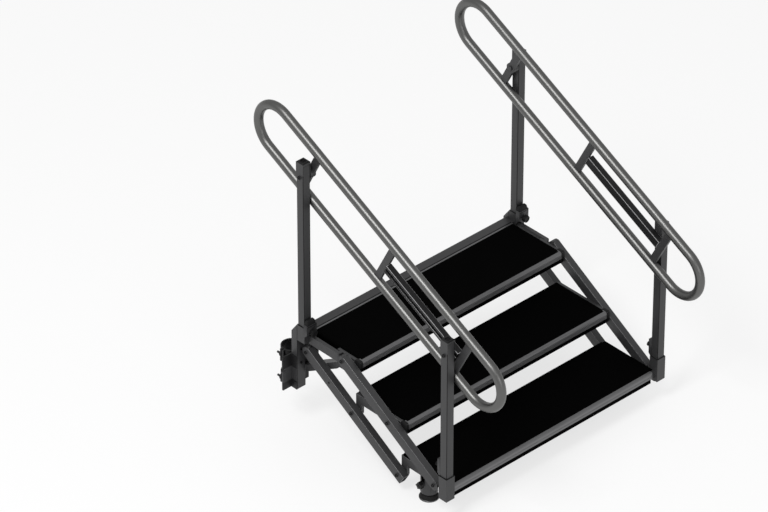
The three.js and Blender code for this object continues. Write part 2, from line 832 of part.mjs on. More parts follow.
for (const { name, s } of sides) {
  put(`${name}_top_handle`, handleSolid(s), "steel");
  put(`${name}_middle_side_rail`, sideRailSolid(1, s), "steel");
  put(`${name}_bottom_side_rail`, sideRailSolid(2, s), "steel");

  const upper = treadNames.map((_, i) => upperPivot(i));
  const lower = treadNames.map((_, i) => lowerPivot(i));
  const spare = [(lower[0][0] + lower[1][0]) / 2, (lower[0][1] + lower[1][1]) / 2];
  put(`${name}_upper_link`, linkSolid(upper, s, null, 0), "steel");
  put(`${name}_lower_link`, linkSolid(lower, s, spare, lowerLinkEnd), "steel");

  const rear = [s, rearPostY, rearSleeveBottom, rearSleeveTop, rearLatch, -1];
  const front = [s, frontPostY, frontSleeveBottom, frontSleeveTop, frontLatch, 1];
  put(`${name}_rear_sleeve`, sleeveSolid(...rear, handleTop + runGap), "steel");
  put(`${name}_front_sleeve`, sleeveSolid(...front, frontSleeveTop - frontLatchLap), "steel");
  put(`${name}_rear_latch`, latchSolid(s, rearPostY, rearSleeveTop, rearLatch, -1), "casting");
  put(`${name}_front_latch`, latchSolid(s, frontPostY, frontSleeveTop, frontLatch, 1), "casting");

  const hubEnd = railX - crossbarThickness / 2 - pinHeadHeight - runGap;
  const pinEnd = railX + tubeRadius - gap - channelLip - runGap - pinHeadHeight;
  put(
    `${name}_rear_post`,
    postSolid(s, rearPostY, rearSleeveBottom + postEndGap, rearPivotHeight, hubEnd),
    "steel",
  );
  put(
    `${name}_front_post`,
    postSolid(s, frontPostY, frontSleeveBottom + postEndGap, frontPivotHeight, pinEnd),
    "steel",
  );
  put(`${name}_rear_post_cap`, capSolid(s, rearPostY, rearPivotHeight), "steel");
  put(`${name}_front_post_cap`, capSolid(s, frontPostY, frontPivotHeight), "steel");
  addHandrail(name, s);

  put(`${name}_column`, columnSolid(s), "steel");
  put(`${name}_strut`, strutSolid(s), "steel");
  put(`${name}_clamp_saddle`, saddleSolid(s), "casting");
  for (const level of clampLevels) {
    put(`${name}_${level.name}_clamp_jaw`, clampJawSolid(s, level), "casting");
  }

  put(
    `${name}_foot_tube`,
    rodZ(footTubeRadius, s * footX, footY, footDiscHeight, rise - footTubeDrop, 20),
    "steel",
  );
  put(`${name}_foot_disc`, footDiscSolid(s), "rubber");
  put(`${name}_foot_knob`, footKnobSolid(s), "casting");
}

// The part's origin is on the floor, under the middle of its outline
stairs.updateMatrixWorld(true);
const bounds = new THREE.Box3().setFromObject(stairs, true);
const shiftY = -(bounds.min.y + bounds.max.y) / 2;
stairs.position.y = shiftY;

stairs.userData = {
  shiftY,
  upperPivots: treadNames.map((_, i) => upperPivot(i)),
  lowerPivots: treadNames.map((_, i) => lowerPivot(i)),
  rearPivot: [rearPostY, rearPivotHeight],
  frontPivot: [frontPostY, frontPivotHeight],
  railX,
  postX,
  legX,
  legY,
  footX,
  footY,
  footKnobHeight,
  railSlope,
  linkStep,
  treadHalf,
};

export default stairs;
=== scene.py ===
"""Height-adjustable stage stairs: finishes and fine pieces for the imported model."""

import json
import math

import bmesh
import bpy
from bpy.props import FloatProperty, FloatVectorProperty, PointerProperty
from mathutils import Matrix, Vector


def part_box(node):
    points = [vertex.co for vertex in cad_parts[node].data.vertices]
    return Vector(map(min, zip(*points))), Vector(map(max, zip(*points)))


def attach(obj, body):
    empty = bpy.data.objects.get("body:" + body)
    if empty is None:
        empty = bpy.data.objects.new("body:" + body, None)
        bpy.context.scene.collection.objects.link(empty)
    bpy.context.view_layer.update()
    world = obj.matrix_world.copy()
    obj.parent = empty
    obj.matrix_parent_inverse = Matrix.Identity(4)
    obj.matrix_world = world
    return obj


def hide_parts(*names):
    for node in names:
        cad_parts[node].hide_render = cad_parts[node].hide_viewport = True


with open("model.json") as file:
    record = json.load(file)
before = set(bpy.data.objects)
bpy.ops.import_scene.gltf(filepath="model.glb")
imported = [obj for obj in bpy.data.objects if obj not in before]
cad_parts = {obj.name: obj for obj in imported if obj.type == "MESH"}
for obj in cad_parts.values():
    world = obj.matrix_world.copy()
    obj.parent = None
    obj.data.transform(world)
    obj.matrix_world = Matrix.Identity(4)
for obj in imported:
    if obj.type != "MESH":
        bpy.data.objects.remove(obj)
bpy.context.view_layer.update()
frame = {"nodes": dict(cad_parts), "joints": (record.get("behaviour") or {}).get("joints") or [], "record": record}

bl_info = {
    "name": "Stage Stairs",
    "version": (1, 0, 0),
    "blender": (4, 5, 0),
    "location": "View3D > Sidebar > Stage Stairs",
    "description": "Finishes and fine pieces for adjustable stage stairs",
    "category": "Add Mesh",
}

MM = 0.001
SIDES = (("left", -1), ("right", 1))
TREADS = ("top", "middle", "bottom")
TREAD_BODY = {"top": "deck_frame", "middle": "middle_tread", "bottom": "bottom_tread"}


def joint(name):
    """The record's joint of that name."""
    return next(j for j in frame["joints"] if j["name"] == name)


def pivot(name):
    """Where a hinge stands, in metres."""
    return Vector(joint(name)["pos_m"])


def linear(value):
    """An sRGB hex value such as 0x404142 as linear red, green, blue and alpha."""
    parts = [(value >> shift & 255) / 255 for shift in (16, 8, 0)]
    return (*(c / 12.92 if c <= 0.04045 else ((c + 0.055) / 1.055) ** 2.4 for c in parts), 1.0)


class StairSizes(bpy.types.PropertyGroup):
    """Sizes of the fine pieces."""

    tube_diameter: FloatProperty(
        name="Tube diameter", description="Outside diameter of the handrail tube",
        default=34 * MM, unit="LENGTH",
    )
    edge_round: FloatProperty(
        name="Edge rounding", description="Rounding of the edges of plates and boards",
        default=2.0 * MM, unit="LENGTH",
    )
    edge_strip: FloatProperty(
        name="Edge strip", description="Width of the strip along the long edges of bars and posts",
        default=1.7 * MM, unit="LENGTH",
    )
    thread_pitch: FloatProperty(
        name="Thread pitch", description="Distance between the threads drawn on the studs",
        default=2.0 * MM, unit="LENGTH",
    )
    end_cap: FloatProperty(
        name="End cap thickness", description="Thickness of the caps on the nosings' ends",
        default=1.5 * MM, unit="LENGTH",
    )
    cover_thickness: FloatProperty(
        name="Cover thickness", description="Thickness of the anti-slip covers on the treads",
        default=1.2 * MM, unit="LENGTH",
    )
    cover_margin: FloatProperty(
        name="Cover margin", description="Bare strip between a cover and the tread's edges",
        default=5 * MM, unit="LENGTH",
    )
    weld_radius: FloatProperty(
        name="Weld radius", description="Radius of the weld beads",
        default=2.2 * MM, unit="LENGTH",
    )


class StairColours(bpy.types.PropertyGroup):
    """Colours of the finishes."""

    steel: FloatVectorProperty(
        name="Coated steel", description="Grey powder coating on posts, links and rails",
        subtype="COLOR", size=4, min=0, max=1, default=linear(0x39393A),
    )
    tube: FloatVectorProperty(
        name="Handrail tube", description="Dark polished aluminium of the handrails",
        subtype="COLOR", size=4, min=0, max=1, default=linear(0x6A6A69),
    )
    nosing: FloatVectorProperty(
        name="Nosing", description="Anodised aluminium of the tread nosings",
        subtype="COLOR", size=4, min=0, max=1, default=linear(0x6C6C6D),
    )
    tread: FloatVectorProperty(
        name="Tread", description="Black anti-slip tread covers",
        subtype="COLOR", size=4, min=0, max=1, default=linear(0x010101),
    )
    fitting: FloatVectorProperty(
        name="Fittings", description="Black coating on clamps, latches and caps",
        subtype="COLOR", size=4, min=0, max=1, default=linear(0x131314),
    )


# How deep a fitting is let into the face that carries it
SINK = 0.2 * MM
# A handrail bolt's centre below the cap of its post
BOLT_BELOW_CAP = 9 * MM
# From the middle of a handrail to the axis of each of its tubes
RAIL_HALF = 95 * MM
BAR_HALF_THICKNESS = 6 * MM
SLEEVE_HALF = 19.25 * MM
SIDE_RAIL_THICKNESS = 12 * MM
# From the top of a nosing to the bottom of the fascia under it
FASCIA_DEPTH = 50 * MM
# Along the studs of a clamp, from the front of a jaw's ears to the end of the nuts
EAR_THICKNESS = 7 * MM
NUT_THICKNESS = 6 * MM
# How far above the mouth of a sleeve its latch housing reaches
HOUSING_ABOVE_MOUTH = {"rear": 18 * MM, "front": 62 * MM}
# Heights of the bolts in the front of a column, and how far in they lie from its outer side
COLUMN_BOLT_HEIGHTS = (279 * MM, 335 * MM)
COLUMN_BOLT_INSET = 18 * MM
# Edges at least this long have the strip of their own finish
LONG_EDGE = 22 * MM
# Radius and height of the heads of the screws
LARGE_SCREW = (7 * MM, 3 * MM)
SMALL_SCREW = (5 * MM, 2.6 * MM)

# Radii and heights, in millimetres, of the turned fittings
PLUG_PROFILE = ((10.6, 0), (10.6, 3.4), (8.6, 3.4), (8.2, 1.8), (5.2, 1.8), (4.8, 3.0),
                (2.4, 3.0), (1.8, 1.6))
WASHER_PROFILE = ((4.9, 0), (8.6, 0), (9.2, 0.4), (9.2, 1.2), (8.6, 1.6), (4.9, 1.6), (4.9, 0))
BUTTON_PROFILE = ((6.4, 0), (6.4, 0.9), (5.4, 1.6), (3.2, 1.9), (2.8, 1.4))
THREAD_ROOT, THREAD_CREST = 3.7 * MM, 4.25 * MM

# The camera: where it stands round its target, the target's place across, behind the rear edge
# of the top nosing and above the floor, and the focal length and picture width in pixels
CAMERA_AZIMUTH, CAMERA_ELEVATION = math.radians(-43.058), math.radians(34.949)
CAMERA_DISTANCE = 20.188
TARGET_X, TARGET_BEHIND_NOSING, TARGET_Z = -0.034, 0.347, 0.455
FOCAL_PIXELS, PICTURE_PIXELS = 5798.755, 768
SENSOR_MM = 36
# Name, place, side and watts of the lamps, and the point they aim at
LAMPS = (
    ("key", (-4.9, -1.05, 7.5), 2.4, 370),
    ("fill", (-2.0, -6.5, 3.0), 3.0, 60),
)
LAMP_AIM = (0, 0, 0.6)
# How much of the floor glows white to the camera, and how bright the sky is as a light
FLOOR_GLOW = 0.72
SKY_LIGHT = 0.62


def post_screw_place(side, post):
    """The centre of the handrail bolt in a post, in metres."""
    low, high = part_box(f"{side}_{post}_post_cap")
    return Vector(((low.x + high.x) / 2, (low.y + high.y) / 2, low.z - BOLT_BELOW_CAP))


def handrail_frame(side):
    """A handrail's own frame, with Y up its slope, and the distance between its two bolts."""
    hinge = pivot(f"{side}_handrail_pivot")
    pin = post_screw_place(side, "front")
    slope = math.atan2(hinge.z - pin.z, hinge.y - pin.y)
    span = math.hypot(hinge.z - pin.z, hinge.y - pin.y)
    return Matrix.Translation(hinge) @ Matrix.Rotation(slope, 4, "X"), span


def sizes():
    """The sizes in the panel."""
    return bpy.context.scene.stair_sizes


def colours():
    """The colours in the panel."""
    return bpy.context.scene.stair_colours


def add_node(tree, kind, settings=None, values=None, links=None):
    """Adds a shader node, sets it, and links its inputs from other nodes' outputs."""
    new = tree.nodes.new(kind)
    for key, value in (settings or {}).items():
        setattr(new, key, value)
    for key, value in (values or {}).items():
        new.inputs[key].default_value = value
    for key, (source, output) in (links or {}).items():
        tree.links.new(source.outputs[output], new.inputs[key])
    return new


def new_material(name):
    """An empty node material with its output node."""
    material = bpy.data.materials.new(name)
    material.use_nodes = True
    material.node_tree.nodes.clear()
    return material, material.node_tree


def coated_metal(name, colour, roughness, grain_mm, metallic=0.0, stretch=(1, 1, 1), bump=0.06,
                 spread=0.12, gloss_spread=0.07, specular=0.5, band=None):
    """A coated or brushed metal. Its grain is grain_mm wide, and stretch draws it out.

    band is a second colour with the two heights, in metres, between which it shows."""
    material, tree = new_material(name)
    place = add_node(tree, "ShaderNodeTexCoord")
    mapping = add_node(tree, "ShaderNodeMapping", values={"Scale": stretch},
                       links={"Vector": (place, "Object")})
    grain = add_node(tree, "ShaderNodeTexNoise",
                     values={"Scale": 1 / (grain_mm * MM), "Detail": 3},
                     links={"Vector": (mapping, "Vector")})
    cloud = add_node(tree, "ShaderNodeTexNoise", values={"Scale": 1 / (90 * MM), "Detail": 4},
                     links={"Vector": (place, "Object")})
    light = tuple(min(1, c * (1 + spread)) for c in colour[:3]) + (1,)
    dark = tuple(c * (1 - spread) for c in colour[:3]) + (1,)
    tint = add_node(tree, "ShaderNodeMix", {"data_type": "RGBA"}, {6: dark, 7: light},
                    {0: (cloud, "Fac")})
    if band:
        other, low, high = band
        height = add_node(tree, "ShaderNodeSeparateXYZ", links={"Vector": (place, "Object")})
        middle = add_node(tree, "ShaderNodeMath", {"operation": "COMPARE"},
                          {1: (low + high) / 2, 2: (high - low) / 2}, {0: (height, "Z")})
        tint = add_node(tree, "ShaderNodeMix", {"data_type": "RGBA"}, {7: other},
                        {0: (middle, "Value"), 6: (tint, 2)})
    gloss = add_node(tree, "ShaderNodeMapRange",
                     values={"To Min": roughness - gloss_spread,
                             "To Max": roughness + gloss_spread},
                     links={"Value": (cloud, "Fac")})
    relief = add_node(tree, "ShaderNodeBump", values={"Strength": bump, "Distance": 0.3 * MM},
                      links={"Height": (grain, "Fac")})
    surface = add_node(tree, "ShaderNodeBsdfPrincipled",
                       values={"Metallic": metallic, "Specular IOR Level": specular},
                       links={"Base Color": (tint, 2), "Roughness": (gloss, "Result"),
                              "Normal": (relief, "Normal")})
    add_node(tree, "ShaderNodeOutputMaterial", links={"Surface": (surface, "BSDF")})
    return material


def finishes():
    """Every finish of the stairs, made once."""
    c = colours()
    if FINISH_NAMES["steel"] in bpy.data.materials:
        return {key: bpy.data.materials[name] for key, name in FINISH_NAMES.items()}
    # Powder coating on steel: a dull, even film with a faint orange peel about 2 mm wide
    coated_metal(FINISH_NAMES["steel"], c.steel, 0.45, 2.2, metallic=0.35, bump=0.10)
    # The same coating, lighter and smoother, along the long edges of bars: a painted highlight on each edge
    coated_metal(FINISH_NAMES["painted_highlight_edge"], linear(0x8A8A8B), 0.5, 2.2, metallic=0.2, bump=0.05)
    # The same coating, near black, on the rounded long corners of the posts, sleeves and columns: a painted shade
    # line along each corner
    coated_metal(FINISH_NAMES["painted_shade_corner"], linear(0x0E0E0F), 0.6, 2.2, bump=0.05,
                 specular=0.2)
    # Aluminium tube, drawn and polished: an even surface that draws one soft line of light
    coated_metal(FINISH_NAMES["tube"], c.tube, 0.4, 1.6, metallic=1.0, bump=0.002, spread=0.04,
                 gloss_spread=0.01)
    # Extruded and anodised nosing: satin, with fine lines along the profile
    coated_metal(FINISH_NAMES["nosing"], c.nosing, 0.38, 1.5, metallic=0.7,
                 stretch=(0.02, 1, 1), bump=0.08)
    # Phenolic tread: black film with a fine anti-slip grit, drawn 2.5 mm wide so that it shows
    coated_metal(FINISH_NAMES["tread"], c.tread, 0.95, 2.5, bump=0.3, spread=0.4, specular=0.03)
    # Cast and coated fittings: black, a little rougher than the steel
    coated_metal(FINISH_NAMES["fitting"], c.fitting, 0.5, 1.8, metallic=0.2, bump=0.2,
                 specular=0.35)
    # The same on the saddles, whose plate is grey between the two clamps
    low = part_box("left_lower_clamp_jaw")[1].z
    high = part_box("left_upper_clamp_jaw")[0].z
    coated_metal(FINISH_NAMES["saddle"], c.fitting, 0.5, 1.8, metallic=0.2, bump=0.2,
                 specular=0.35, band=(c.steel, low + 0.3 * MM, high - 0.3 * MM))
    # Moulded rubber: soft grey black, no gloss
    coated_metal(FINISH_NAMES["rubber"], linear(0x121212), 0.8, 1.2, bump=0.25, specular=0.3)
    # Moulded plastic of grips, plugs and end caps: black, with a fine grained surface
    coated_metal(FINISH_NAMES["plastic"], linear(0x0A0A0B), 0.62, 0.9, bump=0.15, specular=0.25)
    # Blackened screws: dark grey metal with a soft shine
    coated_metal(FINISH_NAMES["screw"], linear(0x1C1C1D), 0.38, 0.9, metallic=0.8, bump=0.05)
    # Turned steel of washers, threads and rims: plain grey metal with fine turning marks
    coated_metal(FINISH_NAMES["washer"], linear(0x5E5E5F), 0.35, 0.7, metallic=0.9, bump=0.05)
    return {key: bpy.data.materials[name] for key, name in FINISH_NAMES.items()}


FINISH_NAMES = {
    "steel": "Powder-coated steel",
    "painted_highlight_edge": "Powder-coated steel, painted edge highlight",
    "painted_shade_corner": "Powder-coated steel, painted corner shade",
    "tube": "Polished aluminium tube",
    "nosing": "Anodised aluminium nosing",
    "tread": "Anti-slip phenolic film",
    "fitting": "Black coated casting",
    "saddle": "Black coated casting with a grey plate",
    "rubber": "Moulded rubber",
    "plastic": "Moulded black plastic",
    "screw": "Blackened steel",
    "washer": "Turned steel",
}
SLOT_FINISH = {
    "tread_board": "tread",
    "nosing": "nosing",
    "frame_steel": "steel",
    "handrail_tube": "tube",
    "dark_fittings": "fitting",
    "foot_rubber": "rubber",
}
# The finish of solids that depart from their slot's, by the words that their names end in
NODE_FINISH = {"_clamp_saddle": "saddle", "_crossbar": "steel"}
# The finish of the strips along the long edges, by the words that a solid's name ends in: a painted highlight on
# bars and rails, painted shade on posts, sleeves and columns
EDGE_FINISH = {
    "_link": "painted_highlight_edge",
    "_side_rail": "painted_highlight_edge",
    "_slide_channel": "painted_highlight_edge",
    "_post": "painted_shade_corner",
    "_sleeve": "painted_shade_corner",
    "_column": "painted_shade_corner",
}


def named_by_end(table, name):
    """What the table gives for the end of a name, or None."""
    return next((value for end, value in table.items() if name.endswith(end)), None)


def deselect():
    """Leaves edit mode and deselects every object."""
    if bpy.context.object and bpy.context.object.mode != "OBJECT":
        bpy.ops.object.mode_set(mode="OBJECT")
    bpy.ops.object.select_all(action="DESELECT")


def activate(piece):
    """Selects a piece alone and makes it the active one."""
    deselect()
    piece.select_set(True)
    bpy.context.view_layer.objects.active = piece


def apply_modifiers(piece):
    """Applies a piece's modifiers in their order."""
    activate(piece)
    for modifier in list(piece.modifiers):
        bpy.ops.object.modifier_apply(modifier=modifier.name)


def settle(piece, name, body, finish, smooth=30):
    """Puts the piece's place into its mesh, names it, gives its finish and lets it ride."""
    activate(piece)
    bpy.ops.object.transform_apply(location=True, rotation=True, scale=True)
    bpy.ops.object.shade_smooth_by_angle(angle=math.radians(smooth))
    piece.name = name
    piece.data.name = name
    piece.data.materials.clear()
    piece.data.materials.append(finishes()[finish])
    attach(piece, body)
    return piece


def bevel(piece, width, segments=2, angle=35):
    """A live bevel on the edges sharper than angle."""
    modifier = piece.modifiers.new("Edge rounding", "BEVEL")
    modifier.width = width
    modifier.segments = segments
    modifier.limit_method = "ANGLE"
    modifier.angle_limit = math.radians(angle)
    return modifier


def mark_long_edges(solid, least):
    """Gives a bevel weight to the sharp edges of a solid that are longer than least.

    Vertices within a hundredth of a millimetre count as one corner."""
    per_metre, sharp_cosine = 1e5, 0.8
    mesh = solid.data
    corner = [tuple(round(c * per_metre) for c in v.co) for v in mesh.vertices]
    normals = {}
    for polygon in mesh.polygons:
        for a, b in polygon.edge_keys:
            normals.setdefault(frozenset((corner[a], corner[b])), []).append(polygon.normal)
    weights = mesh.attributes.new("bevel_weight_edge", "FLOAT", "EDGE")
    for edge in mesh.edges:
        a, b = edge.vertices
        beside = normals.get(frozenset((corner[a], corner[b])), [])
        length = (mesh.vertices[a].co - mesh.vertices[b].co).length
        if len(beside) == 2 and length > least and beside[0].dot(beside[1]) < sharp_cosine:
            weights.data[edge.index].value = 1


def start_selection(piece, mode):
    """In edit mode, deselects a piece's mesh, sets the select mode and returns the mesh."""
    mesh = bmesh.from_edit_mesh(piece.data)
    for element in (*mesh.verts, *mesh.edges, *mesh.faces):
        element.select = False
    bpy.context.tool_settings.mesh_select_mode = [mode == m for m in ("VERT", "EDGE", "FACE")]
    return mesh


def select_faces(piece, test):
    """In edit mode, selects the faces for which test(centre, normal) holds."""
    mesh = start_selection(piece, "FACE")
    for face in mesh.faces:
        if test(face.calc_center_median(), face.normal):
            face.select_set(True)
    mesh.select_flush_mode()
    bmesh.update_edit_mesh(piece.data)


def select_edges(piece, test):
    """In edit mode, selects the edges for both of whose ends test(point) holds."""
    mesh = start_selection(piece, "EDGE")
    for edge in mesh.edges:
        if all(test(vertex.co) for vertex in edge.verts):
            edge.select_set(True)
    bmesh.update_edit_mesh(piece.data)


def millimetres(profile):
    """A profile that is given in millimetres, in metres."""
    return [(radius * MM, height * MM) for radius, height in profile]


def box_start(low, high):
    """A box between two corners, to be shaped further."""
    deselect()
    bpy.ops.mesh.primitive_cube_add(size=1, location=[(a + b) / 2 for a, b in zip(low, high)])
    piece = bpy.context.object
    piece.scale = [b - a for a, b in zip(low, high)]
    bpy.ops.object.transform_apply(location=True, rotation=False, scale=True)
    return piece


def turned(profile, vertices=24, bored=False):
    """A turned piece about Z. The profile gives its radius and height, from the bottom up.

    A bored piece has no face over its first ring, and its profile ends where it begins.
    """
    deselect()
    (radius, height), *rest = profile
    bpy.ops.mesh.primitive_circle_add(vertices=vertices, radius=radius, fill_type="NGON",
                                      location=(0, 0, height))
    piece = bpy.context.object
    bpy.ops.object.transform_apply(location=True, rotation=False, scale=False)
    bpy.ops.object.mode_set(mode="EDIT")
    bpy.ops.mesh.select_all(action="SELECT")
    for next_radius, next_height in rest:
        bpy.ops.mesh.extrude_region_move(
            TRANSFORM_OT_translate={"value": (0, 0, next_height - height)})
        ratio = next_radius / radius
        bpy.ops.transform.resize(value=(ratio, ratio, 1), center_override=(0, 0, next_height))
        radius, height = next_radius, next_height
    if bored:
        select_faces(piece, lambda centre, normal: math.hypot(centre.x, centre.y) < 0.1 * MM)
        bpy.ops.mesh.delete(type="ONLY_FACE")
    bpy.ops.mesh.select_all(action="SELECT")
    if bored:
        bpy.ops.mesh.remove_doubles(threshold=0.01 * MM)
    bpy.ops.mesh.normals_make_consistent(inside=False)
    bpy.ops.object.mode_set(mode="OBJECT")
    return piece


def stand(piece, place, outward=(0, 0, 1)):
    """Stands a piece that was made along Z at place, facing outward, and keeps it there."""
    turn = Vector(outward).to_track_quat("Z", "Y").to_matrix().to_4x4()
    piece.matrix_world = Matrix.Translation(place) @ turn
    activate(piece)
    bpy.ops.object.transform_apply(location=True, rotation=True, scale=True)
    return piece


def repeat(piece, count, step):
    """Repeats a piece in a row, step apart, by an applied array."""
    row = piece.modifiers.new("Row", "ARRAY")
    row.use_relative_offset = False
    row.use_constant_offset = True
    row.constant_offset_displace = step
    row.count = count
    apply_modifiers(piece)
    return piece


def joined(pieces):
    """Joins pieces into the first one."""
    activate(pieces[0])
    for piece in pieces:
        piece.select_set(True)
    bpy.ops.object.join()
    return bpy.context.object


def weld_seam(start, end):
    """A weld bead from start to end: a row of flattened drops that overlap."""
    radius = sizes().weld_radius
    start, end = Vector(start), Vector(end)
    length = (end - start).length
    count = max(2, round(length / (1.3 * radius)))
    deselect()
    bpy.ops.mesh.primitive_uv_sphere_add(segments=10, ring_count=6, radius=radius)
    bead = bpy.context.object
    bead.scale = (1, 0.75, 0.75)
    bpy.ops.object.transform_apply(location=False, rotation=False, scale=True)
    repeat(bead, count, (length / (count - 1), 0, 0))
    turn = (end - start).to_track_quat("X", "Z").to_matrix().to_4x4()
    bead.matrix_world = Matrix.Translation(start) @ turn
    activate(bead)
    bpy.ops.object.transform_apply(location=True, rotation=True, scale=True)
    return bead


class STAIRS_OT_stage(bpy.types.Operator):
    """Make the floor, the light and the camera"""

    bl_idname = "stairs.stage"
    bl_label = "Stage and camera"

    def execute(self, context):
        scene = context.scene
        scene.view_settings.view_transform = "Standard"
        deselect()
        bpy.ops.mesh.primitive_plane_add(size=60, location=(0, 0, 0))
        floor = context.object
        floor.name = "floor"
        material, tree = new_material("Studio floor")
        path = add_node(tree, "ShaderNodeLightPath")
        seen = add_node(tree, "ShaderNodeMath", {"operation": "MAXIMUM"},
                        links={0: (path, "Is Camera Ray"), 1: (path, "Is Glossy Ray")})
        clear = add_node(tree, "ShaderNodeMath", {"operation": "MAXIMUM"},
                         links={0: (seen, "Value"), 1: (path, "Is Transmission Ray")})
        share = add_node(tree, "ShaderNodeMath", {"operation": "MULTIPLY"}, {1: FLOOR_GLOW},
                         {0: (clear, "Value")})
        paint = add_node(tree, "ShaderNodeBsdfDiffuse", values={"Color": linear(0xF4F4F4)})
        glow = add_node(tree, "ShaderNodeEmission", values={"Color": (1, 1, 1, 1), "Strength": 1})
        mix = add_node(tree, "ShaderNodeMixShader", links={
            0: (share, "Value"), 1: (paint, "BSDF"), 2: (glow, "Emission")})
        add_node(tree, "ShaderNodeOutputMaterial", links={"Surface": (mix, "Shader")})
        floor.data.materials.append(material)

        world = bpy.data.worlds.new("Studio")
        scene.world = world
        world.use_nodes = True
        tree = world.node_tree
        tree.nodes.clear()
        path = add_node(tree, "ShaderNodeLightPath")
        seen = add_node(tree, "ShaderNodeMath", {"operation": "MAXIMUM"},
                        links={0: (path, "Is Camera Ray"), 1: (path, "Is Transmission Ray")})
        level = add_node(tree, "ShaderNodeMapRange", values={"To Min": SKY_LIGHT, "To Max": 1.0},
                         links={"Value": (seen, "Value")})
        sky = add_node(tree, "ShaderNodeBackground", values={"Color": (1, 1, 1, 1)},
                       links={"Strength": (level, "Result")})
        add_node(tree, "ShaderNodeOutputWorld", links={"Surface": (sky, "Background")})

        # The key light is high at the camera's left, so that the left faces of the posts are
        # lighter than their fronts. The weak fill light comes from the front
        for name, place, size, power in LAMPS:
            deselect()
            bpy.ops.object.light_add(type="AREA", location=place)
            lamp = context.object
            lamp.name = name
            lamp.data.size = size
            lamp.data.energy = power
            aim = Vector(LAMP_AIM) - Vector(place)
            lamp.rotation_euler = aim.to_track_quat("-Z", "Y").to_euler()

        back = Vector((
            math.sin(CAMERA_AZIMUTH) * math.cos(CAMERA_ELEVATION),
            -math.cos(CAMERA_AZIMUTH) * math.cos(CAMERA_ELEVATION),
            math.sin(CAMERA_ELEVATION),
        ))
        nose_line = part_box("top_tread_nosing")[1].y
        target = Vector((TARGET_X, nose_line + TARGET_BEHIND_NOSING, TARGET_Z))
        deselect()
        bpy.ops.object.camera_add(location=target + back * CAMERA_DISTANCE)
        camera = context.object
        camera.rotation_euler = (-back).to_track_quat("-Z", "Y").to_euler()
        camera.data.sensor_width = SENSOR_MM
        camera.data.lens = FOCAL_PIXELS / PICTURE_PIXELS * SENSOR_MM
        camera.data.clip_end = 200
        scene.camera = camera
        return {"FINISHED"}


class STAIRS_OT_finishes(bpy.types.Operator):
    """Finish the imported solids: a material by slot, and rounded edges"""

    bl_idname = "stairs.finishes"
    bl_label = "Finishes of the solids"

    def execute(self, context):
        slots = {p["node"]: p["material_slot"] for p in frame["record"]["subparts"]}
        for name, solid in frame["nodes"].items():
            solid.data.materials.clear()
            finish = named_by_end(NODE_FINISH, name) or SLOT_FINISH[slots[name]]
            solid.data.materials.append(finishes()[finish])
            weld = solid.modifiers.new("Joined corners", "WELD")
            weld.merge_threshold = 0.02 * MM
            # Castings, boards and rubber have tighter edges than bars and plates
            share = 1 if finish == "steel" else 0.6
            rounding = bevel(solid, sizes().edge_round * share)
            edge = named_by_end(EDGE_FINISH, name)
            if edge:
                # Only the long edges are rounded here, in a finish of their own: a strip of painted highlight or
                # painted shade
                mark_long_edges(solid, LONG_EDGE)
                solid.data.materials.append(finishes()[edge])
                rounding.limit_method = "WEIGHT"
                rounding.width = sizes().edge_strip
                rounding.material = 1
            if name == "bottom_tread_board":
                # The sockets of the feet are steel, though they are fused with the board
                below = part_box("bottom_tread_nosing")[1].z - FASCIA_DEPTH - 5 * MM
                self.second_finish(solid, "steel", lambda face: face.center.z < below)
            if name.endswith("_post_cap"):
                # The crown of a cap is black above its grey skirt
                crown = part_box(name)[1].z - 6 * MM
                self.second_finish(solid, "fitting", lambda face: (
                    face.normal.z > 0.4 and face.center.z > crown))
            solid.data.polygons.foreach_set("use_smooth", [True] * len(solid.data.polygons))
            even = solid.modifiers.new("Even shading", "WEIGHTED_NORMAL")
            even.keep_sharp = False
            even.weight = 90
        return {"FINISHED"}

    @staticmethod
    def second_finish(solid, finish, test):
        """Gives another finish to the faces of a solid for which test(face) holds."""
        solid.data.materials.append(finishes()[finish])
        index = len(solid.data.materials) - 1
        for face in solid.data.polygons:
            if test(face):
                face.material_index = index


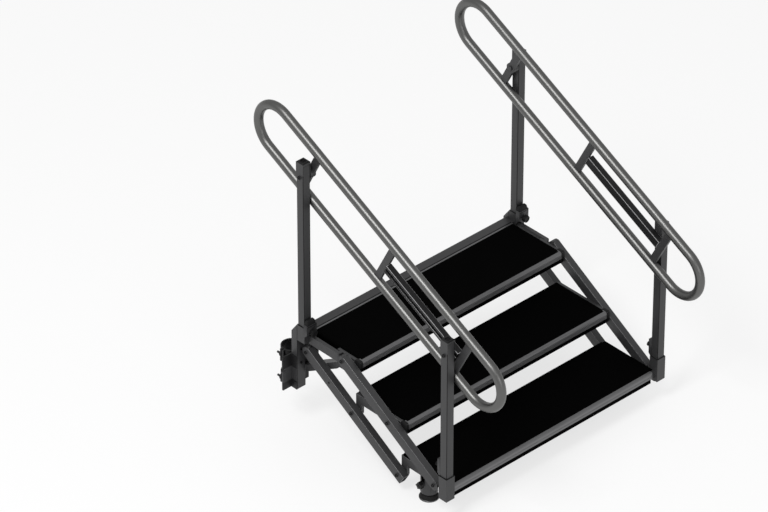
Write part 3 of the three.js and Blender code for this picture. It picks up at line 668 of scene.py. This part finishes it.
class STAIRS_OT_handrails(bpy.types.Operator):
    """Replace the faceted handrail loops by round ones"""

    bl_idname = "stairs.handrails"
    bl_label = "Handrail loops"

    def execute(self, context):
        radius = sizes().tube_diameter / 2
        for side, _ in SIDES:
            node = f"{side}_handrail_tube"
            turn, _ = handrail_frame(side)
            local = [turn.inverted() @ v.co for v in frame["nodes"][node].data.vertices]
            front = min(v.y for v in local) + radius
            rear = max(v.y for v in local) - radius
            half = max(v.z for v in local) - radius
            # The centres of the two bends, along the rail
            upper, lower = rear - half, front + half
            # A ring of the tube's section is spun round each bend and bridged along the runs
            deselect()
            bpy.ops.mesh.primitive_circle_add(vertices=32, radius=radius, location=(0, 0, half),
                                              rotation=(math.pi / 2, 0, 0))
            loop = context.object
            bpy.ops.object.transform_apply(location=True, rotation=True, scale=True)
            activate(loop)
            bpy.ops.object.mode_set(mode="EDIT")
            bpy.ops.mesh.select_all(action="SELECT")
            bpy.ops.transform.translate(value=(0, upper, 0))
            bpy.ops.mesh.spin(steps=24, angle=math.pi, center=(0, upper, 0), axis=(1, 0, 0))
            mesh = bmesh.from_edit_mesh(loop.data)
            for vertex in mesh.verts:
                vertex.select = False
            mesh.select_flush(False)
            for vertex in mesh.verts:
                if vertex.is_boundary and vertex.co.z < 0:
                    vertex.select = True
            mesh.select_flush(True)
            bmesh.update_edit_mesh(loop.data)
            bpy.ops.mesh.extrude_region_move(
                TRANSFORM_OT_translate={"value": (0, lower - upper, 0)})
            bpy.ops.mesh.spin(steps=24, angle=math.pi, center=(0, lower, 0), axis=(1, 0, 0))
            bpy.ops.mesh.extrude_region_move(
                TRANSFORM_OT_translate={"value": (0, upper - lower, 0)})
            bpy.ops.mesh.select_all(action="SELECT")
            bpy.ops.mesh.remove_doubles(threshold=0.05 * MM)
            bpy.ops.mesh.normals_make_consistent(inside=False)
            bpy.ops.object.mode_set(mode="OBJECT")
            loop.matrix_world = turn
            settle(loop, f"{side}_round_handrail", f"{side}_handrail", "tube", 60)
            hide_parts(node)
        return {"FINISHED"}


class STAIRS_OT_covers(bpy.types.Operator):
    """Lay the anti-slip covers on the treads"""

    bl_idname = "stairs.covers"
    bl_label = "Anti-slip covers"

    def execute(self, context):
        s = sizes()
        for tread in TREADS:
            low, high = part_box(f"{tread}_tread_board")
            _, nose_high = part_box(f"{tread}_tread_nosing")
            width = high.x - low.x - 2 * s.cover_margin
            depth = high.y - low.y - 2 * s.cover_margin
            deselect()
            bpy.ops.mesh.primitive_cube_add(
                size=1,
                location=(0, (low.y + high.y) / 2, nose_high.z + s.cover_thickness / 2 - SINK))
            cover = context.object
            cover.scale = (width, depth, s.cover_thickness)
            bpy.ops.object.transform_apply(location=False, rotation=False, scale=True)
            bpy.ops.object.mode_set(mode="EDIT")
            select_faces(cover, lambda centre, normal: normal.z > 0.9)
            bpy.ops.mesh.inset(thickness=3 * MM, depth=-0.4 * MM)
            bpy.ops.object.mode_set(mode="OBJECT")
            bevel(cover, 0.3 * MM, 2)
            apply_modifiers(cover)
            settle(cover, f"{tread}_tread_cover", TREAD_BODY[tread], "tread")
        return {"FINISHED"}


def socket_screw(context, place, outward, radius, height):
    """A round screw head with a hexagonal socket, its seat at place, facing outward."""
    deselect()
    bpy.ops.mesh.primitive_cylinder_add(vertices=24, radius=radius, depth=height,
                                        location=(0, 0, height / 2))
    head = context.object
    bpy.ops.object.transform_apply(location=True, rotation=False, scale=False)
    bpy.ops.object.mode_set(mode="EDIT")
    select_faces(head, lambda centre, normal: normal.z > 0.9)
    bpy.ops.mesh.inset(thickness=radius * 0.12, depth=height * 0.12)
    bpy.ops.mesh.inset(thickness=radius * 0.35)
    bpy.ops.mesh.extrude_region_move(TRANSFORM_OT_translate={"value": (0, 0, -height * 0.6)})
    bpy.ops.object.mode_set(mode="OBJECT")
    bevel(head, radius * 0.06, 2)
    apply_modifiers(head)
    turn = Vector(outward).to_track_quat("Z", "Y").to_matrix().to_4x4()
    head.matrix_world = Matrix.Translation(place) @ turn
    return head


class STAIRS_OT_screws(bpy.types.Operator):
    """Put a socket screw on each bolt of the links and posts"""

    bl_idname = "stairs.screws"
    bl_label = "Socket screws"

    def execute(self, context):
        for side, sign in SIDES:
            for link, body, first in (("upper", "upper_links", "stair_fold"),
                                      ("lower", "lower_links", "lower_link_pivot")):
                start = pivot(first)
                step = pivot("middle_tread_pivot") - pivot("stair_fold")
                _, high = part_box(f"right_{link}_link")
                for k in range(3):
                    place = start + step * k
                    place.x = sign * (high.x - SINK)
                    head = socket_screw(context, place, (sign, 0, 0), *LARGE_SCREW)
                    settle(head, f"{side}_{link}_link_screw_{k + 1}", body, "screw")
            for post in ("rear", "front"):
                low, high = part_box(f"{side}_{post}_post")
                place = post_screw_place(side, post)
                place.x = (high.x if sign > 0 else low.x) - sign * SINK
                head = socket_screw(context, place, (sign, 0, 0), *LARGE_SCREW)
                settle(head, f"{side}_{post}_post_screw", f"{side}_{post}_post", "screw")
        return {"FINISHED"}


class STAIRS_OT_trims(bpy.types.Operator):
    """Cap the ends of the nosings, and lay the trim and the seal behind the top tread"""

    bl_idname = "stairs.trims"
    bl_label = "End caps and trim"

    def execute(self, context):
        thickness = sizes().end_cap
        for tread in TREADS:
            board_low, board_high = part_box(f"{tread}_tread_board")
            nose_low, nose_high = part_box(f"{tread}_tread_nosing")
            bottom = nose_high.z - FASCIA_DEPTH
            front = nose_low.y - thickness
            back = nose_high.y + 6 * MM
            top = nose_high.z + 0.4 * MM
            nose_radius = 8.5 * MM
            for side, sign in SIDES:
                outer = board_high.x + SIDE_RAIL_THICKNESS
                x = sorted((sign * board_high.x, sign * (outer + thickness)))
                cap = box_start((x[0], board_low.y, bottom), (x[1], back, top))
                # The upper part of the cap comes forward round the nosing
                bpy.ops.object.mode_set(mode="EDIT")
                bpy.ops.mesh.select_all(action="SELECT")
                bpy.ops.mesh.bisect(plane_co=(0, 0, nose_low.z), plane_no=(0, 0, 1))
                select_faces(cap, lambda centre, normal: normal.y < -0.9 and centre.z > nose_low.z)
                bpy.ops.mesh.extrude_region_move(
                    TRANSFORM_OT_translate={"value": (0, front - board_low.y, 0)})
                select_edges(cap, lambda point: (
                    abs(point.y - front) < 0.01 * MM and abs(point.z - top) < 0.01 * MM))
                bpy.ops.mesh.bevel(offset=nose_radius, segments=5, affect="EDGES")
                bpy.ops.object.mode_set(mode="OBJECT")
                bevel(cap, 0.4 * MM, 2)
                apply_modifiers(cap)
                settle(cap, f"{side}_{tread}_end_cap", TREAD_BODY[tread], "plastic")
        board_low, board_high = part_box("top_tread_board")
        # A grey trim on the back edge of the top tread, and a black seal against the cross rail
        for name, finish, from_back, to_back, height in (
            ("rear_trim", "nosing", -6.5 * MM, 0, 1.8 * MM),
            ("rear_seal", "plastic", 0, 6.5 * MM, 1.2 * MM),
        ):
            strip = box_start((board_low.x, board_high.y + from_back, board_high.z - SINK),
                              (board_high.x, board_high.y + to_back, board_high.z + height))
            bpy.ops.object.mode_set(mode="EDIT")
            select_faces(strip, lambda centre, normal: normal.z > 0.9)
            bpy.ops.mesh.inset(thickness=0.8 * MM, depth=0.3 * MM)
            bpy.ops.object.mode_set(mode="OBJECT")
            bevel(strip, 0.3 * MM, 2)
            apply_modifiers(strip)
            settle(strip, name, "deck_frame", finish)
        return {"FINISHED"}


class STAIRS_OT_post_fittings(bpy.types.Operator):
    """Put plugs in the caps, liners on the sleeves, and covers and grips on the latches"""

    bl_idname = "stairs.post_fittings"
    bl_label = "Post fittings"

    def execute(self, context):
        for side, _ in SIDES:
            for post in ("rear", "front"):
                base = "deck_frame" if post == "rear" else "bottom_tread"
                # The plug in the cap's recess, with two turned steps round a hollow
                low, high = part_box(f"{side}_{post}_post_cap")
                middle = (low + high) / 2
                plug = turned(millimetres(PLUG_PROFILE), 28)
                stand(plug, (middle.x, middle.y, high.z - 5.2 * MM))
                settle(plug, f"{side}_{post}_cap_plug", f"{side}_{post}_post", "plastic", 40)

                # The liner round the mouth of the sleeve, just clear of the post
                centre_x, centre_y, _ = post_screw_place(side, post)
                bore_half, width = 16.35 * MM, 2.4 * MM
                sleeve_top = self.sleeve_top(side, post)
                liner = box_start(
                    (centre_x - bore_half - width, centre_y - bore_half - width, sleeve_top),
                    (centre_x + bore_half + width, centre_y + bore_half + width,
                     sleeve_top + 1.6 * MM))
                bpy.ops.object.mode_set(mode="EDIT")
                select_faces(liner, lambda centre, normal: abs(normal.z) > 0.9)
                bpy.ops.mesh.inset(thickness=width)
                bpy.ops.mesh.bridge_edge_loops()
                bpy.ops.object.mode_set(mode="OBJECT")
                bevel(liner, 0.5 * MM, 2)
                apply_modifiers(liner)
                settle(liner, f"{side}_{post}_sleeve_liner", base, "plastic")

                # The grip on the latch's knob: every other facet stands up as a rib
                low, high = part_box(f"{side}_{post}_latch")
                direction = -1 if post == "rear" else 1
                radius = (high.x - low.x) / 2
                length = (0.5 if post == "front" else 0.34) * (high.y - low.y)
                facets = 32
                grip = turned([(radius + 0.2 * MM, 0), (radius + 0.2 * MM, length),
                               (radius - 2.2 * MM, length + 0.8 * MM),
                               (radius - 3.6 * MM, length + 0.3 * MM)], facets)
                bpy.ops.object.mode_set(mode="EDIT")
                step = 2 * math.pi / facets
                select_faces(grip, lambda centre, normal: abs(normal.z) < 0.1 and round(
                    math.atan2(centre.y, centre.x) / step - 0.5) % 2 == 0)
                bpy.ops.mesh.extrude_region_shrink_fatten(
                    TRANSFORM_OT_shrink_fatten={"value": 0.9 * MM})
                bpy.ops.object.mode_set(mode="OBJECT")
                tip = low.y if post == "rear" else high.y
                place = (centre_x, tip - direction * (length - 0.4 * MM), (low.z + high.z) / 2)
                stand(grip, place, (0, direction, 0))
                settle(grip, f"{side}_{post}_latch_grip", f"{side}_{post}_latch", "plastic", 25)

            # The domed cover on the rear latch's housing
            low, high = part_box(f"{side}_rear_sleeve")
            centre_x = post_screw_place(side, "rear").x
            cover = box_start((centre_x - 20 * MM, low.y - 0.6 * MM, high.z - 6 * MM),
                              (centre_x + 20 * MM, low.y + 18 * MM, high.z + 20 * MM))
            bpy.ops.object.mode_set(mode="EDIT")
            select_faces(cover, lambda centre, normal: normal.z > 0.9)
            bpy.ops.transform.resize(value=(0.8, 0.62, 1))
            bpy.ops.transform.translate(value=(0, 1.5 * MM, 0))
            bpy.ops.mesh.bevel(offset=7 * MM, segments=5, affect="EDGES")
            bpy.ops.object.mode_set(mode="OBJECT")
            bevel(cover, 1.2 * MM, 3)
            apply_modifiers(cover)
            settle(cover, f"{side}_latch_cover", "deck_frame", "plastic", 50)
        return {"FINISHED"}

    @staticmethod
    def sleeve_top(side, post):
        """The height of a sleeve's mouth, below the top of its latch housing."""
        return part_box(f"{side}_{post}_sleeve")[1].z - HOUSING_ABOVE_MOUTH[post]


class STAIRS_OT_clamp_fittings(bpy.types.Operator):
    """Put threads and washers on the clamp studs, and bolts in the columns"""

    bl_idname = "stairs.clamp_fittings"
    bl_label = "Clamp fittings"

    def execute(self, context):
        pitch = sizes().thread_pitch
        for side, sign in SIDES:
            _, saddle_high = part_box(f"{side}_clamp_saddle")
            for level in ("lower", "upper"):
                low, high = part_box(f"{side}_{level}_clamp_jaw")
                middle = (low + high) / 2
                nut_end = low.y + EAR_THICKNESS + NUT_THICKNESS
                threads, washers = [], []
                for outer in (-1, 1):
                    x = middle.x + outer * ((high.x - low.x) / 2 - 6.5 * MM)
                    # Threads as rings on the stud's free end, from the nut to its chamfered tip
                    ring = turned([(THREAD_ROOT, 0), (THREAD_CREST, 0.35 * pitch),
                                   (THREAD_CREST, 0.5 * pitch), (THREAD_ROOT, 0.85 * pitch)], 14)
                    free = saddle_high.y - nut_end - 1.5 * MM
                    repeat(ring, max(2, int(free / pitch)), (0, 0, pitch))
                    threads.append(stand(ring, (x, nut_end + 0.6 * MM, middle.z), (0, 1, 0)))
                    # The washer under the nut, with a stepped rim and clear of the thread
                    washer = turned(millimetres(WASHER_PROFILE), 24, bored=True)
                    seat = nut_end - NUT_THICKNESS - 0.1 * MM
                    washers.append(stand(washer, (x, seat, middle.z), (0, 1, 0)))
                settle(joined(threads), f"{side}_{level}_stud_threads", "deck_frame", "washer", 25)
                settle(joined(washers), f"{side}_{level}_clamp_washers",
                       f"{side}_{level}_clamp_jaw", "washer", 40)
            # Two bolts in the front of the column hold the saddle
            column_low, column_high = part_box(f"{side}_column")
            outer = column_low.x if sign < 0 else column_high.x
            x = outer - sign * COLUMN_BOLT_INSET
            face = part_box(f"{side}_rear_sleeve")[1].y
            for k, height in enumerate(COLUMN_BOLT_HEIGHTS):
                head = socket_screw(context, Vector((x, face + SINK, height)), (0, -1, 0),
                                    *SMALL_SCREW)
                settle(head, f"{side}_column_bolt_{k + 1}", "deck_frame", "screw")
        return {"FINISHED"}


class STAIRS_OT_foot_fittings(bpy.types.Operator):
    """Put a rim and a collar on the feet, and a button on the foot knobs"""

    bl_idname = "stairs.foot_fittings"
    bl_label = "Foot fittings"

    def execute(self, context):
        for side, sign in SIDES:
            low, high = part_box(f"{side}_foot_disc")
            middle = (low + high) / 2
            radius = (high.x - low.x) / 2
            # A pressed steel rim round the disc, open in the middle
            rim = turned([(radius - 1.6 * MM, 0.6 * MM), (radius + 0.7 * MM, 1.4 * MM),
                          (radius + 0.7 * MM, 5.2 * MM), (radius - 1.2 * MM, 6.4 * MM)], 40)
            stand(rim, (middle.x, middle.y, 0))
            settle(rim, f"{side}_foot_rim", f"{side}_foot", "washer", 30)
            # The collar where the tube meets the disc, low enough to stay under the socket
            tube_low, tube_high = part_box(f"{side}_foot_tube")
            tube = (tube_high.x - tube_low.x) / 2
            collar = turned([(tube + 2.4 * MM, 0), (tube + 2.4 * MM, 1.2 * MM),
                             (tube + 1.6 * MM, 1.9 * MM), (tube - 0.5 * MM, 1.9 * MM)], 36)
            stand(collar, (middle.x, middle.y, tube_low.z - 0.6 * MM))
            settle(collar, f"{side}_foot_collar", f"{side}_foot", "rubber", 30)
            low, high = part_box(f"{side}_foot_knob")
            end = low.x if sign < 0 else high.x
            button = turned(millimetres(BUTTON_PROFILE), 24)
            pin = pivot(f"{side}_foot_knob_turn")
            stand(button, (end - sign * 0.3 * MM, pin.y, pin.z), (sign, 0, 0))
            settle(button, f"{side}_foot_knob_button", f"{side}_foot_knob", "screw", 30)
        return {"FINISHED"}


class STAIRS_OT_welds(bpy.types.Operator):
    """Lay the weld beads on the handrails, columns, sleeves and struts"""

    bl_idname = "stairs.welds"
    bl_label = "Weld beads"

    def execute(self, context):
        radius = sizes().tube_diameter / 2
        for side, sign in SIDES:
            # Handrails: both faces of each crossbar, at both tubes, in the handrail's own plane
            turn, span = handrail_frame(side)
            seams = []
            reach = RAIL_HALF - math.sqrt(radius ** 2 - BAR_HALF_THICKNESS ** 2)
            weld_half = 12 * MM
            # The rear, middle and front crossbars, down the slope from the hinge
            middle_bar, front_bar = -414 * MM, -span - 38 * MM
            for y in (0, middle_bar, front_bar):
                for k in (-1, 1):
                    for x in (-BAR_HALF_THICKNESS, BAR_HALF_THICKNESS):
                        ends = [turn @ Vector((x, y + e * weld_half, k * reach)) for e in (-1, 1)]
                        seams.append(weld_seam(*ends))
            settle(joined(seams), f"{side}_handrail_welds", f"{side}_handrail", "steel", 60)

            # Column to sleeve, on the outer side, and strut to column
            sleeve_low, sleeve_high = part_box(f"{side}_rear_sleeve")
            back = sleeve_high.y
            post = post_screw_place(side, "rear").x
            outer = post + sign * SLEEVE_HALF
            inner = post - sign * SLEEVE_HALF
            side_seam_top, strut_low, strut_high = 440 * MM, 230 * MM, 256 * MM
            seams = [
                weld_seam((outer, back, sleeve_low.z + 4 * MM), (outer, back, side_seam_top)),
                weld_seam((outer - sign * 34 * MM, back - 0.5 * MM, sleeve_low.z),
                          (outer - sign * 4 * MM, back - 0.5 * MM, sleeve_low.z)),
                weld_seam((inner, back - 0.3 * MM, strut_low), (inner, back - 0.3 * MM, strut_high)),
            ]
            settle(joined(seams), f"{side}_column_welds", "deck_frame", "steel", 60)

            # Front sleeve to the bottom side rail
            front = post_screw_place(side, "front").y + SLEEVE_HALF
            rail_low, rail_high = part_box(f"{side}_bottom_side_rail")
            edge = rail_high.x if sign > 0 else rail_low.x
            seam_low, seam_high = 104 * MM, 133 * MM
            seams = [weld_seam((edge, front, seam_low), (edge, front, seam_high))]
            settle(joined(seams), f"{side}_front_sleeve_welds", "bottom_tread", "steel", 60)
        return {"FINISHED"}


PIECES = (
    STAIRS_OT_stage,
    STAIRS_OT_finishes,
    STAIRS_OT_handrails,
    STAIRS_OT_covers,
    STAIRS_OT_screws,
    STAIRS_OT_trims,
    STAIRS_OT_post_fittings,
    STAIRS_OT_clamp_fittings,
    STAIRS_OT_foot_fittings,
    STAIRS_OT_welds,
)


class STAIRS_PT_panel(bpy.types.Panel):
    """Sizes, colours and pieces of the stage stairs"""

    bl_idname = "STAIRS_PT_panel"
    bl_label = "Stage Stairs"
    bl_space_type = "VIEW_3D"
    bl_region_type = "UI"
    bl_category = "Stage Stairs"

    def draw(self, context):
        layout = self.layout
        for group in (context.scene.stair_sizes, context.scene.stair_colours):
            box = layout.box()
            for key in group.bl_rna.properties.keys():
                if key not in ("rna_type", "name"):
                    box.prop(group, key)
        for piece in PIECES:
            layout.operator(piece.bl_idname)


CLASSES = (StairSizes, StairColours, *PIECES, STAIRS_PT_panel)


def register():
    """Registers the classes, and the sizes and colours of the scene."""
    for cls in CLASSES:
        bpy.utils.register_class(cls)
    bpy.types.Scene.stair_sizes = PointerProperty(type=StairSizes)
    bpy.types.Scene.stair_colours = PointerProperty(type=StairColours)


def unregister():
    """Takes back what register did."""
    del bpy.types.Scene.stair_colours
    del bpy.types.Scene.stair_sizes
    for cls in reversed(CLASSES):
        bpy.utils.unregister_class(cls)


def main():
    """Makes every group of pieces."""
    register()
    bpy.ops.stairs.stage()
    bpy.ops.stairs.finishes()
    bpy.ops.stairs.handrails()
    bpy.ops.stairs.covers()
    bpy.ops.stairs.screws()
    bpy.ops.stairs.trims()
    bpy.ops.stairs.post_fittings()
    bpy.ops.stairs.clamp_fittings()
    bpy.ops.stairs.foot_fittings()
    bpy.ops.stairs.welds()


if __name__ == "__main__":
    main()
